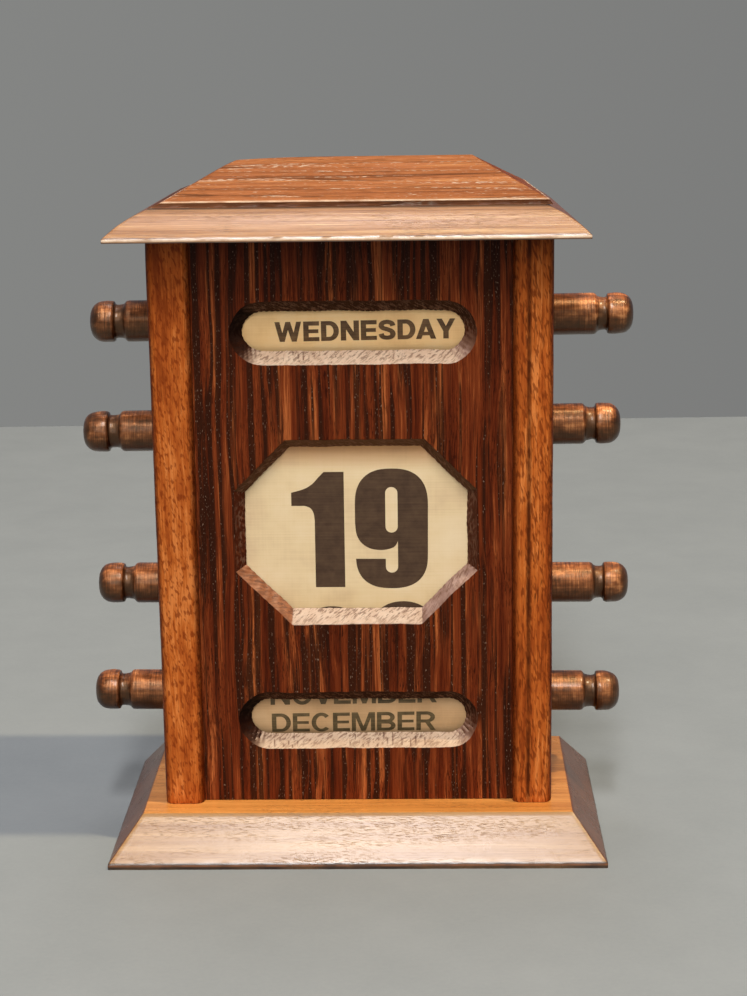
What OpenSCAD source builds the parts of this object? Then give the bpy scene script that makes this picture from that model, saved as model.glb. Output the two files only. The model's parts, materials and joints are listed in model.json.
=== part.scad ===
// Wooden perpetual desk calendar: a small case on a bevelled plinth, under a
// moulded lid, with four dowel rollers that turn the weekday, date and month.
// Millimetres. The origin is the middle of the plinth's underside; +Z is up,
// -Y is the front, and +X is the right hand as the calendar is read.

/* [Plinth] */
// Width of the plinth at its foot
plinth_w = 129.6; // [124:0.2:140]
// Depth of the plinth at its foot
plinth_d = 80.3; // [78:0.1:90]
// Height of the plinth
plinth_h = 11.9; // [10:0.1:14]
// Height of the plinth's thin upright edge
plinth_edge = 1.3; // [0.8:0.1:2]
// How far the side bevels run in
plinth_bevel_x = 8.5; // [6:0.1:9.5]
// How far the front and back bevels run in
plinth_bevel_y = 9.8; // [6:0.1:10]

/* [Case] */
// Width over the side boards
case_w = 102; // [98:0.5:104]
// Depth from the front board's face to the back board's face
case_d = 46.5; // [46:0.5:50]
// Height of the case between plinth and lid
case_h = 150.3; // [148:0.1:156]
// How far the case stands behind the plinth's middle
case_set_back = 2.4; // [1:0.1:4]
// Thickness of the front board
front_t = 4; // [3:0.5:4.5]
// Thickness of the side boards
side_t = 6; // [5:0.5:7]
// Thickness of the back board
back_t = 4; // [3:0.5:4.5]
// Width of each pilaster
pilaster_w = 10.2; // [8:0.1:11]
// How far the pilasters stand forward of the front board
pilaster_t = 3; // [2.4:0.1:3.6]
// Radius of the pilasters' rounded front corners
pilaster_round = 2.2; // [1:0.1:2.4]

/* [Windows] */
// Half the width of the weekday and month slots at the back of the board
slot_half_w = 28.3; // [24:0.1:29]
// Height of the weekday slot at the back of the board
day_slot_h = 10.1; // [8:0.1:12]
// Height of the month slot at the back of the board
month_slot_h = 9.3; // [8:0.1:12]
// How far each slot's edge opens out towards the front
slot_splay = 3; // [1:0.1:3.2]
// Height of the weekday slot's middle above the ground
day_slot_z = 137; // [135:0.1:139]
// Height of the month slot's middle above the ground
month_slot_z = 34; // [33:0.1:37]
// Half the width of the date window at the back of the board
date_half_w = 28.8; // [24:0.1:30]
// Half the height of the date window at the back of the board
date_half_h = 21.6; // [18:0.1:22]
// Size of the date window's cut corners, measured along the edges
date_corner = 11.9; // [8:0.1:14]
// How far the date window's edge opens out towards the front
date_splay = 2.4; // [1:0.1:3]
// Height of the date window's middle above the ground
date_window_z = 85.3; // [84:0.1:87]
// How far the windows stand to the right of the middle
window_shift = 0.3; // [0:0.1:1]

/* [Lid] */
// Width of the moulded lid board
lid_w = 119.8; // [114:0.2:126]
// Depth of the moulded lid board
lid_d = 78.2; // [76:0.2:84]
// Height of the lid board's thin upright edge
lid_edge = 1; // [0.6:0.1:1.6]
// Height of the lid board
lid_h = 7.4; // [7:0.1:9]
// How far the lid's rounded moulding runs in
lid_round_in = 10.2; // [9:0.1:11]
// Radius of the lid's rounded moulding
lid_round_r = 25; // [18:0.5:40]
// How far the roof board is set in from the top of the moulding
roof_set_in = 1.3; // [0.8:0.1:2]
// Height of the roof board's upright edge
roof_edge = 1.3; // [0.8:0.1:2]
// Rise of the roof's slopes to the ridge
roof_rise = 9.1; // [6:0.1:11]
// Length of the ridge
ridge_len = 60; // [40:0.5:66]
// How far the roof board is set to the right of the middle
roof_shift = 0.8; // [0:0.1:1]
// How far the ridge is set to the right of the middle
ridge_shift = 2.8; // [0:0.1:4]

/* [Spindles] */
// Diameter of the dowel that each spindle is turned from
dowel_d = 11; // [10:0.1:12]
// Length of each spindle over both knobs
spindle_len = 142.8; // [136:0.2:148]
// Depth of the spindles behind the front board's face
spindle_depth = 22.3; // [22:0.1:23]
// Running clearance around a spindle in the side boards
running_gap = 0.08; // [0.03:0.01:0.1]
// Length of each knob's head
head_len = 7.1; // [6:0.1:8]
// Width of the groove behind each head
groove_w = 4.2; // [3:0.1:5]
// Depth of the groove
groove_depth = 0.9; // [0.5:0.1:1.4]
// Radius of the round at the rim of each head
head_round = 2.3; // [1.5:0.1:3]
// Radius of the domed end face
dome_r = 9; // [8:0.5:14]
// Height of the weekday spindle above the ground
day_z = 137.7; // [136:0.1:139]
// Height of the upper date spindle above the ground
date_top_z = 108.3; // [107:0.1:109]
// Height of the lower date spindle above the ground
date_foot_z = 65.7; // [65:0.1:66.5]
// Height of the month spindle above the ground
month_z = 35.3; // [34:0.1:36]
// Rise of each spindle to the right, top to bottom, in degrees
spindle_tilts = [0.4, 0.5, -0.3, -0.5];
// How far each spindle is pushed to the right, top to bottom
spindle_shifts = [1.8, -1.2, 1.3, -0.7];

/* [Drums] */
// Length of the weekday and month drums
drum_len = 80; // [76:1:82]
// Width of the printed bands pasted round the drums
band_w = 78; // [70:1:80]
// Thickness of the printed bands
band_t = 0.3; // [0.2:0.05:0.4]
// Gap between the front board and the printed paper
paper_gap = 0.3; // [0.25:0.05:0.5]
// Diameter of the pins that lock the drums to their spindles
pin_d = 2; // [1.6:0.2:2.4]

/* [Date scroll] */
// Thickness of the date scroll
scroll_t = 0.2; // [0.15:0.05:0.25]
// Distance from one date number to the next
date_pitch = 36.8; // [34:0.1:38]
// Date that shows in the window
date_shown = 19; // [8:1:24]
// Thickness of the platen that holds the scroll flat
platen_t = 3; // [2.6:0.1:3.4]
// How far the platen reaches above and below the window's middle
platen_reach = 24.6; // [24:0.1:25]

/* [Fasteners] */
// Diameter of the screw heads
screw_head_d = 5; // [4.4:0.1:5.4]
// Diameter of the screw shanks
screw_shank_d = 2.4; // [2:0.1:2.6]
// Length of the screws
screw_len = 20; // [16:1:22]
// Diameter of the dowel pins under the lid
lid_dowel_d = 3; // [2.5:0.1:3.5]
// Length of the dowel pins under the lid
lid_dowel_len = 16; // [12:1:20]

/* [Hidden] */

oak = [0.45, 0.22, 0.10];
dark_oak = [0.27, 0.12, 0.06];
warm_oak = [0.55, 0.28, 0.12];
knob_brown = [0.42, 0.22, 0.12];
paper = [0.86, 0.80, 0.66];
steel = [0.62, 0.60, 0.56];
pale_wood = [0.74, 0.58, 0.38];

$fn = 64;
cut = 1;                       // how far a cutter runs past a face
front_y = case_set_back - case_d / 2;
back_y = case_set_back + case_d / 2;
case_top = plinth_h + case_h;
lid_top = case_top + lid_h;
inner_w = case_w - 2 * side_t;
spindle_y = front_y + spindle_depth;
paper_y = front_y + front_t + paper_gap;
dowel_r = dowel_d / 2;
drum_r = spindle_y - paper_y - band_t;
side_mid_x = (case_w - side_t) / 2;
spindle_zs = [day_z, date_top_z, date_foot_z, month_z];
month_days = 31;
// outer radius of a length of scroll wound on its dowel
function roll_r(len) = sqrt(dowel_r * dowel_r + len * scroll_t / PI);
top_roll_r = roll_r((date_shown - 0.5) * date_pitch);
foot_roll_r = roll_r((month_days - date_shown + 0.5) * date_pitch);
roll_gap = 0.45;               // between the still strip and the tilted, turning rolls
nose_r = platen_t / 2;
strip_slack = 0.01;            // the strip lies loose on the platen
platen_y = paper_y + scroll_t + strip_slack + nose_r;
fastener_ys = [front_y + 9, back_y - back_t - 6];
screw_inset = 14;              // of the outer back screws from the case's ends
lid_dowel_top = case_top + 0.75 * lid_h;
pin_inset = 6;                 // of a roller's pin from the drum's end
pin_len = 2 * drum_r - 2;      // the pins stop short of the printed bands

// A bar along X with the given front-to-back outline, drawn as [y, z].
module along_x(len) {
    rotate([90, 0, 90]) linear_extrude(len, center = true) children();
}

// A bar along Y with the given side-to-side outline, drawn as [x, z].
module along_y(len) {
    rotate([90, 0, 0]) linear_extrude(len, center = true) children();
}

// Outline of a bevelled slab, standing on the X axis.
module bevel_outline(w, h, edge, bevel) {
    polygon([[-w / 2, 0], [w / 2, 0], [w / 2, edge], [w / 2 - bevel, h],
             [bevel - w / 2, h], [-w / 2, edge]]);
}

// Countersunk screw pointing along +Z from its flush head at z = 0.
module screw(slotted = true) {
    head_h = (screw_head_d - screw_shank_d) / 2;
    slot_w = screw_head_d / 6;
    difference() {
        union() {
            cylinder(h = head_h, d1 = screw_head_d, d2 = screw_shank_d, $fn = 32);
            cylinder(h = screw_len, d = screw_shank_d, $fn = 32);
        }
        if (slotted)
            cube([screw_head_d + cut, slot_w, 2 * slot_w], center = true);
    }
}

// The screws through the back board, or their holes.
module back_screw_set(slotted) {
    for (x = [-side_mid_x, side_mid_x])
        for (z = [plinth_h + screw_inset, plinth_h + case_h / 2, case_top - screw_inset])
            translate([x, back_y, z]) rotate([90, 0, 0]) screw(slotted);
}

// The screws up through the plinth, or their holes.
module plinth_screw_set(slotted) {
    for (x = [-side_mid_x, side_mid_x])
        for (y = fastener_ys)
            translate([x, y, 0]) screw(slotted);
}

// The dowel pins between side boards and lid, or their holes.
module lid_dowel_set() {
    for (x = [-side_mid_x, side_mid_x])
        for (y = fastener_ys)
            translate([x, y, lid_dowel_top - lid_dowel_len])
                cylinder(h = lid_dowel_len, d = lid_dowel_d, $fn = 32);
}

// Puts a part that is built along +Z from the middle on spindle number i.
module on_spindle(i) {
    translate([0, spindle_y, spindle_zs[i]]) rotate([0, 90 - spindle_tilts[i], 0])
        translate([0, 0, spindle_shifts[i]]) children();
}

// Half outline of a spindle's end, as [radius, distance from the middle].
module spindle_half_outline() {
    end = spindle_len / 2;
    rim = dowel_r - head_round;
    dome_edge = end - dome_r + sqrt(dome_r * dome_r - rim * rim);
    groove_at = end - head_len - groove_w / 2;
    cove_r = (pow(groove_w / 2, 2) + pow(groove_depth, 2)) / (2 * groove_depth);
    difference() {
        union() {
            square([dowel_r, dome_edge - head_round]);
            square([rim, dome_edge]);
            translate([rim, dome_edge - head_round]) intersection() {
                circle(r = head_round);
                square(head_round);
            }
            intersection() {
                translate([0, end - dome_r]) circle(r = dome_r, $fn = 96);
                translate([0, dome_edge - head_round]) square([rim, 2 * head_round]);
            }
        }
        translate([dowel_r - groove_depth + cove_r, groove_at]) circle(r = cove_r);
    }
}

// A dowel with a grooved, domed knob turned on each end.
module spindle(i) {
    on_spindle(i) rotate_extrude() {
        spindle_half_outline();
        mirror([0, 1]) spindle_half_outline();
    }
}

// A tube round spindle i.
module sleeve(i, inner_r, outer_r, len) {
    on_spindle(i) difference() {
        cylinder(h = len, r = outer_r, center = true, $fn = 128);
        cylinder(h = len + cut, r = inner_r, center = true, $fn = 128);
    }
}

// The pin that locks a drum to its spindle, near the drum's left end.
module drum_pin(i) {
    on_spindle(i) translate([0, 0, pin_inset - drum_len / 2])
        rotate([0, 90, 0]) cylinder(h = pin_len, d = pin_d, center = true, $fn = 32);
}

// A tapered cutter: a trapezoid across X, along Z, that widens to the front.
module splayed_slab(half_w, splay, tall) {
    linear_extrude(tall, center = true)
        polygon([[-half_w - splay * (front_t + cut) / front_t, -cut],
                 [half_w + splay * (front_t + cut) / front_t, -cut],
                 [half_w - splay * cut / front_t, front_t + cut],
                 [-half_w + splay * cut / front_t, front_t + cut]]);
}

// Cutter for a slot with round ends and splayed edges.
module slot_cut(z, h) {
    r = h / 2;
    run = slot_half_w - r;
    grow = slot_splay * cut / front_t;
    translate([window_shift, front_y, z]) {
        for (s = [-1, 1])
            translate([s * run, -cut, 0]) rotate([-90, 0, 0])
                cylinder(h = front_t + 2 * cut, r1 = r + slot_splay + grow, r2 = r - grow);
        rotate([0, 90, 0]) splayed_slab(r, slot_splay, 2 * run);
    }
}

// Cutter for the eight-sided date window with splayed edges.
module date_window_cut() {
    tall = 4 * date_half_w;
    corner = (date_half_w + date_half_h - date_corner) / sqrt(2);
    translate([window_shift, front_y, date_window_z]) intersection() {
        splayed_slab(date_half_w, date_splay, tall);
        rotate([0, 90, 0]) splayed_slab(date_half_h, date_splay, tall);
        rotate([0, 45, 0]) splayed_slab(corner, date_splay, tall);
        rotate([0, -45, 0]) splayed_slab(corner, date_splay, tall);
    }
}

// Direction, in degrees, of the outer tangent's normal from circle a to b,
// each given as [y, z, radius]; side is 1 above the pair and -1 below it.
function tangent_angle(a, b, side) =
    let (dy = b[0] - a[0], dz = b[1] - a[1], d = norm([dy, dz]))
    atan2(dz, dy) + side * acos((a[2] - b[2]) / d);

// The point at angle a on a circle [y, z, radius].
function arc_point(c, a) = [c[0] + c[2] * cos(a), c[1] + c[2] * sin(a)];

// Points round a circle from angle a0 to a1.
function arc_points(c, a0, a1, steps) =
    [for (k = [0:steps]) arc_point(c, a0 + (a1 - a0) * k / steps)];

// One face of the date strip, grow outside its inner face: from the top roll,
// over the platen's upper nose, down its front, and back to the foot roll.
function strip_face(grow) =
    let (bend_r = nose_r + strip_slack + grow,
         top_nose = [platen_y, date_window_z + platen_reach, bend_r],
         foot_nose = [platen_y, date_window_z - platen_reach, bend_r],
         top_roll = [spindle_y, date_top_z, top_roll_r + roll_gap + grow],
         foot_roll = [spindle_y, date_foot_z, foot_roll_r + roll_gap + grow],
         up = tangent_angle(top_nose, top_roll, 1),
         down = tangent_angle(foot_nose, foot_roll, -1))
    concat([arc_point(top_roll, up)], arc_points(top_nose, up, 180, 12),
           arc_points(foot_nose, 180, 360 + down, 12),
           [arc_point(foot_roll, down)]);

function reversed(list) = [for (k = [len(list) - 1:-1:0]) list[k]];

// ---- plinth and case ----

module plinth() {
    color(oak) difference() {
        intersection() {
            along_y(plinth_d)
                bevel_outline(plinth_w, plinth_h, plinth_edge, plinth_bevel_x);
            along_x(plinth_w)
                bevel_outline(plinth_d, plinth_h, plinth_edge, plinth_bevel_y);
        }
        plinth_screw_set(false);
    }
}

module front_board() {
    color(dark_oak) difference() {
        translate([-inner_w / 2, front_y, plinth_h]) cube([inner_w, front_t, case_h]);
        slot_cut(day_slot_z, day_slot_h);
        slot_cut(month_slot_z, month_slot_h);
        date_window_cut();
    }
}

module back_board() {
    color(dark_oak) difference() {
        translate([-case_w / 2, back_y - back_t, plinth_h]) cube([case_w, back_t, case_h]);
        back_screw_set(false);
    }
}

module side_board(side) {
    color(oak) difference() {
        translate([side * side_mid_x - side_t / 2, front_y, plinth_h])
            cube([side_t, case_d - back_t, case_h]);
        for (i = [0:3])
            on_spindle(i) cylinder(h = 2 * case_w, r = dowel_r + running_gap, center = true);
        back_screw_set(false);
        plinth_screw_set(false);
        lid_dowel_set();
    }
}

module left_side() { side_board(-1); }

module right_side() { side_board(1); }

module pilaster(side) {
    straight_w = pilaster_w - 2 * pilaster_round;
    color(warm_oak)
        translate([side * (case_w - pilaster_w) / 2, front_y, plinth_h])
            linear_extrude(case_h) {
                translate([-pilaster_w / 2, pilaster_round - pilaster_t])
                    square([pilaster_w, pilaster_t - pilaster_round]);
                translate([-straight_w / 2, -pilaster_t])
                    square([straight_w, pilaster_t]);
                for (s = [-1, 1])
                    translate([s * straight_w / 2, pilaster_round - pilaster_t])
                        intersection() {
                            circle(r = pilaster_round);
                            translate([-pilaster_round, -pilaster_round])
                                square([2 * pilaster_round, pilaster_round]);
                        }
            }
}

module left_pilaster() { pilaster(-1); }

module right_pilaster() { pilaster(1); }

// ---- lid ----

// Outline of the lid board: a slab whose upper edges are rounded over.
module round_over_outline(w) {
    chord = norm([lid_round_in, lid_h - lid_edge]);
    lean = atan2(lid_h - lid_edge, lid_round_in);
    sink = sqrt(lid_round_r * lid_round_r - chord * chord / 4);
    mid = [-lid_round_in / 2, (lid_edge + lid_h) / 2];
    centre = [mid[0] - sink * sin(lean), mid[1] - sink * cos(lean)];
    square_w = w - 2 * lid_round_in;
    translate([-square_w / 2, 0]) square([square_w, lid_h]);
    for (s = [0, 1])
        mirror([s, 0]) intersection() {
            translate([w / 2 - lid_round_in, 0]) square([lid_round_in, lid_h]);
            translate([w / 2 + centre[0], centre[1]]) circle(r = lid_round_r, $fn = 256);
        }
}

module lid_board() {
    color(oak) translate([0, 0, case_top]) difference() {
        intersection() {
            along_y(lid_d) round_over_outline(lid_w);
            along_x(lid_w) round_over_outline(lid_d);
        }
        translate([0, 0, -case_top]) lid_dowel_set();
    }
}

module roof_board() {
    set_in = lid_round_in + roof_set_in;
    w = lid_w - 2 * set_in;
    d = lid_d - 2 * set_in;
    top = roof_edge + roof_rise;
    color(warm_oak) translate([0, 0, lid_top]) intersection() {
        along_y(d) polygon([[roof_shift - w / 2, 0], [roof_shift + w / 2, 0],
                            [roof_shift + w / 2, roof_edge],
                            [ridge_shift + ridge_len / 2, top],
                            [ridge_shift - ridge_len / 2, top],
                            [roof_shift - w / 2, roof_edge]]);
        along_x(2 * w) polygon([[-d / 2, 0], [d / 2, 0], [d / 2, roof_edge],
                                [0, top], [-d / 2, roof_edge]]);
    }
}

// ---- fasteners ----

module back_screws() { color(steel) back_screw_set(true); }

module plinth_screws() { color(steel) plinth_screw_set(true); }

module lid_dowels() { color(pale_wood) lid_dowel_set(); }

// ---- weekday and month rollers ----

module roller_drum(i) {
    color(pale_wood) difference() {
        sleeve(i, dowel_r, drum_r, drum_len);
        drum_pin(i);
    }
}

module roller_spindle(i) {
    color(knob_brown) difference() {
        spindle(i);
        drum_pin(i);
    }
}

module printed_band(i) {
    color(paper) sleeve(i, drum_r, drum_r + band_t, band_w);
}

module day_spindle() { roller_spindle(0); }

module day_drum() { roller_drum(0); }

module day_band() { printed_band(0); }

module day_pin() { color(steel) drum_pin(0); }

module month_spindle() { roller_spindle(3); }

module month_drum() { roller_drum(3); }

module month_band() { printed_band(3); }

module month_pin() { color(steel) drum_pin(3); }

// ---- date scroll ----

module date_top_spindle() { color(knob_brown) spindle(1); }

module date_foot_spindle() { color(knob_brown) spindle(2); }

module date_top_roll() { color(paper) sleeve(1, dowel_r, top_roll_r, band_w); }

module date_foot_roll() { color(paper) sleeve(2, dowel_r, foot_roll_r, band_w); }

module date_strip() {
    color(paper) along_x(band_w)
        polygon(concat(strip_face(scroll_t), reversed(strip_face(0))));
}

module date_platen() {
    color(pale_wood) along_x(inner_w) {
        translate([platen_y - nose_r, date_window_z - platen_reach])
            square([platen_t, 2 * platen_reach]);
        for (s = [-1, 1])
            translate([platen_y, date_window_z + s * platen_reach])
                circle(r = nose_r);
    }
}

plinth();
lid_board();
roof_board();
front_board();
back_board();
left_side();
right_side();
left_pilaster();
right_pilaster();
back_screws();
plinth_screws();
lid_dowels();
day_spindle();
day_drum();
day_band();
day_pin();
date_top_spindle();
date_top_roll();
date_foot_spindle();
date_foot_roll();
date_strip();
date_platen();
month_spindle();
month_drum();
month_band();
month_pin();
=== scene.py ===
# Looks of a small wooden perpetual desk calendar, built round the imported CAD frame.
# Lengths are written in millimetres and turned into metres with MM. -Y is the front.
import json
import math

import bmesh
import bpy
from mathutils import Matrix, Vector, noise


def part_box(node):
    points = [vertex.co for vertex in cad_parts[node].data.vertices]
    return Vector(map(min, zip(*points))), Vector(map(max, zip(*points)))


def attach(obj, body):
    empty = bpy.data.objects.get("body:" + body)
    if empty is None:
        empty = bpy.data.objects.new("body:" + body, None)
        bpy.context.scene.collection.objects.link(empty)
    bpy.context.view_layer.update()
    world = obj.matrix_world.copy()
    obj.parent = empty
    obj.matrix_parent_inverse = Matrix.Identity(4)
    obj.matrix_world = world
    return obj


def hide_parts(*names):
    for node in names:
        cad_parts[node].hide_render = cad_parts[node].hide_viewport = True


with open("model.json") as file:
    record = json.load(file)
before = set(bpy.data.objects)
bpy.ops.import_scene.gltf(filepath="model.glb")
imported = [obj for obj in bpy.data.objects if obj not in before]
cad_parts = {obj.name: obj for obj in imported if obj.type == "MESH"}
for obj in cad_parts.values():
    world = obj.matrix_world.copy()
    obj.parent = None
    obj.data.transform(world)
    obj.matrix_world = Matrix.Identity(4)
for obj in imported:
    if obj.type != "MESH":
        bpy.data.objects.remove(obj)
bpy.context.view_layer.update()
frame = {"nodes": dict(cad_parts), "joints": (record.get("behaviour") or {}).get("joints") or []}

MM = 0.001
noise.seed_set(7)          # noise_vector draws its offsets from this

# ---- places read from the frame ----

JOINTS = {joint["name"]: joint for joint in frame["joints"]}
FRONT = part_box("front_board")[0].y / MM       # face of the front board
FRONT_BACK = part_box("front_board")[1].y / MM
PANEL_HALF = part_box("front_board")[1].x / MM
CASE_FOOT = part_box("front_board")[0].z / MM
CASE_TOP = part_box("front_board")[1].z / MM
LID_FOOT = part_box("lid_board")[0].z / MM
LID_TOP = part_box("roof_board")[0].z / MM
PAPER_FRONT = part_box("date_strip")[0].y / MM
BAND_R = (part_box("day_spindle")[0].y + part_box("day_spindle")[1].y) / 2 / MM - PAPER_FRONT

# ---- dimensions that the frame doesn't name ----

SLOT_HALF = 28.3          # half width of the two slots at the back of the board
DAY_SLOT_Z, DAY_SLOT_H = 137.0, 10.1
MONTH_SLOT_Z, MONTH_SLOT_H = 34.0, 9.3
SLOT_SPLAY = 3.0
DATE_HALF_W, DATE_HALF_H = 28.8, 21.6
DATE_CORNER, DATE_SPLAY, DATE_Z = 11.9, 2.4, 85.3
DATE_FOOT_SPLAY = 1.40     # how much further the foot of the date window is cut back
WINDOW_SHIFT = 0.3
KNOB_R = 5.46              # radius of the shafts and of the knobs' heads
SHOWN_FROM = 52            # x from which a spindle is seen outside the case
INK_LIFT = 0.03            # height of the ink over the paper
PLINTH_EDGE, PLINTH_BEVEL_X, PLINTH_BEVEL_Y = 1.3, 8.5, 9.8
LID_EDGE, LID_ROUND_IN, LID_ROUND_R = 1.0, 10.2, 25.0
LID_TAPER = 3.8            # how much each side of the lid draws in towards the back
LID_SHIFT = -0.45
ROOF_EDGE, RIDGE_LEFT, RIDGE_RIGHT = 1.3, -31.0, 32.8
ROOF_TAPER_LEFT, ROOF_TAPER_RIGHT = 2.6, 3.6


# ---- small helpers ----

def mm(x, y, z):
    return Vector((x, y, z)) * MM


def drift(point, size, amount, seed=0.0):
    """A smooth shift of a point, the same each run. All in millimetres."""
    return noise.noise_vector(Vector(point) / size + Vector((seed, seed * 1.7, -seed))) * amount


def ripple(point, size, seed=0.0):
    """A smooth number from -1 to 1 at a point in millimetres."""
    return noise.noise(Vector(point) / size + Vector((seed, -seed, seed * 1.3)))


def rounded(points, radius, steps=3):
    """The open line through 2-D points, with its inner corners rounded."""
    line = [Vector(points[0])]
    for before, corner, after in zip(points, points[1:], points[2:]):
        corner = Vector(corner)
        to_before, to_after = Vector(before) - corner, Vector(after) - corner
        cut = min(radius, 0.45 * to_before.length, 0.45 * to_after.length)
        start = corner + to_before.normalized() * cut
        end = corner + to_after.normalized() * cut
        for k in range(steps + 1):
            t = k / steps
            line.append(start * (1 - t) ** 2 + corner * 2 * t * (1 - t) + end * t * t)
    line.append(Vector(points[-1]))
    return line


def arc(cx, cz, rx, rz, start, end, steps=14, square=1.0):
    """Points of an ellipse's arc, angles in degrees. square below 1 fills its corners out."""
    turn = [math.radians(start + (end - start) * k / steps) for k in range(steps + 1)]
    return [(cx + rx * math.copysign(abs(math.cos(a)) ** square, math.cos(a)),
             cz + rz * math.copysign(abs(math.sin(a)) ** square, math.sin(a))) for a in turn]


def add_object(name, data):
    obj = bpy.data.objects.new(name, data)
    bpy.context.scene.collection.objects.link(obj)
    return obj


def piece(name, bm, material, body, stands_for=(), flat_angle=35):
    """Makes an object of a bmesh in millimetres and ties it to a body of the frame."""
    bmesh.ops.recalc_face_normals(bm, faces=bm.faces)
    bmesh.ops.scale(bm, vec=(MM, MM, MM), verts=bm.verts)
    mesh = bpy.data.meshes.new(name)
    bm.to_mesh(mesh)
    bm.free()
    mesh.polygons.foreach_set("use_smooth", [True] * len(mesh.polygons))
    mesh.set_sharp_from_angle(angle=math.radians(flat_angle))
    mesh.materials.append(material)
    obj = add_object(name, mesh)
    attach(obj, body)
    if stands_for:
        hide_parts(*stands_for)
    return obj


def skin(bm, rings):
    """Quads between closed rings of vertices that all have the same count."""
    for low, high in zip(rings, rings[1:]):
        for k in range(len(low)):
            j = (k + 1) % len(low)
            bm.faces.new((low[k], low[j], high[j], high[k]))


def loft(rings):
    """A solid's skin over rings of points, closed at both ends."""
    bm = bmesh.new()
    grid = [[bm.verts.new(p) for p in ring] for ring in rings]
    skin(bm, grid)
    bm.faces.new(reversed(grid[0]))
    bm.faces.new(grid[-1])
    return bm


def rectangle_ring(x0, x1, y0, y1, corner, nx, ny, nc=3):
    """Points round a rectangle with small round corners, anticlockwise from above."""
    corner = min(corner, 0.49 * (x1 - x0), 0.49 * (y1 - y0))
    ring = []
    for cx, cy, start, ex, ey, n in (
        (x1 - corner, y0 + corner, -90, x1, y1 - corner, ny),
        (x1 - corner, y1 - corner, 0, x0 + corner, y1, nx),
        (x0 + corner, y1 - corner, 90, x0, y0 + corner, ny),
        (x0 + corner, y0 + corner, 180, x1 - corner, y0, nx),
    ):
        turn = arc(cx, cy, corner, corner, start, start + 90, nc)
        ring += turn
        last = turn[-1]
        ring += [(last[0] + (ex - last[0]) * k / n, last[1] + (ey - last[1]) * k / n)
                 for k in range(1, n)]
    return ring


# ---- materials ----

class Value:
    """A number in a node tree. + - * and abs() add Math nodes to the tree."""

    def __init__(self, shader, socket):
        self.shader, self.socket = shader, socket

    def __add__(self, other):
        return self.shader.math("ADD", self, other)

    def __sub__(self, other):
        return self.shader.math("SUBTRACT", self, other)

    def __mul__(self, other):
        return self.shader.math("MULTIPLY", self, other)

    def __abs__(self):
        return self.shader.math("ABSOLUTE", self)

    def step(self, low, high, to_low=0.0, to_high=1.0):
        """Fades from to_low to to_high as the number goes from low to high."""
        return self.shader.value("MapRange", {0: self, 1: low, 2: high, 3: to_low, 4: to_high})


class Shader:
    """The node tree of a material or a world, written as a chain of short calls."""

    def __init__(self, owner, output="OutputMaterial"):
        self.owner = owner
        owner.use_nodes = True
        self.tree = owner.node_tree
        self.tree.nodes.clear()
        self.out = self.node(output)
        self.coords = self.node("TexCoord").outputs

    def node(self, kind, inputs=(), **settings):
        made = self.tree.nodes.new("ShaderNode" + kind)
        for key, value in settings.items():
            setattr(made, key, value)
        for key, value in dict(inputs).items():
            if isinstance(value, Value):
                value = value.socket
            if isinstance(value, bpy.types.NodeSocket):
                self.tree.links.new(value, made.inputs[key])
            else:
                made.inputs[key].default_value = value
        return made

    def value(self, kind, inputs, **settings):
        return Value(self, self.node(kind, inputs, **settings).outputs[0])

    def parts(self, vector):
        """The x, y and z of a vector."""
        return [Value(self, part) for part in self.node("SeparateXYZ", {0: vector}).outputs]

    def stretch(self, cells, turn=(0, 0, 0), shift=(0, 0, 0), source=None):
        """Coordinates in which one cell of a texture is cells = (x, y, z) millimetres."""
        turned = self.node("Mapping", {0: source or self.coords["Object"], "Rotation": turn})
        scale = tuple(1000 / c for c in cells)
        return self.node("Mapping", {0: turned.outputs[0], "Location": shift,
                                     "Scale": scale}).outputs[0]

    def noise(self, vector, detail=3.0, rough=0.55):
        return self.value("TexNoise", {"Vector": vector, "Scale": 1.0, "Detail": detail,
                                       "Roughness": rough})

    def blotch(self, cell, detail=3.0, rough=0.55, shift=(0, 0, 0)):
        """Noise that looks the same in every direction."""
        return self.noise(self.stretch((cell,) * 3, shift=shift), detail, rough)

    def math(self, operation, a, b=0.0):
        return self.value("Math", {0: a, 1: b}, operation=operation)

    def mix(self, share, a, b, blend="MIX"):
        a, b = ((*c, 1) if isinstance(c, tuple) else c for c in (a, b))
        made = self.node("Mix", {0: share, 6: a, 7: b}, data_type="RGBA", blend_type=blend)
        return made.outputs[2]

    def tint(self, share, colour, by):
        """The colour, multiplied by another as far as share says."""
        return self.mix(share, colour, self.mix(1.0, colour, by, "MULTIPLY"))

    def ramp(self, value, stops):
        made = self.node("ValToRGB", {0: value})
        band = made.color_ramp
        while len(band.elements) < len(stops):
            band.elements.new(0.5)
        for element, (place, colour) in zip(band.elements, stops):
            element.position = place
            element.color = (*colour, 1)
        return made.outputs[0]

    def finish(self, colour, rough, height=None, depth_mm=0.05, **constants):
        """Ends the tree in a Principled shader; constants are set on its own sockets."""
        shader = self.node("BsdfPrincipled", {"Base Color": colour, "Roughness": rough})
        for key, value in constants.items():
            shader.inputs[key.replace("_", " ")].default_value = value
        if height is not None:
            bump = self.node("Bump", {"Height": height, "Distance": depth_mm * MM})
            self.tree.links.new(bump.outputs[0], shader.inputs["Normal"])
        self.tree.links.new(shader.outputs[0], self.out.inputs[0])
        return self.owner


def new_shader(name):
    return Shader(bpy.data.materials.new(name))


def scaled(colour, factor):
    return tuple(factor * c for c in colour)


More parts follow.
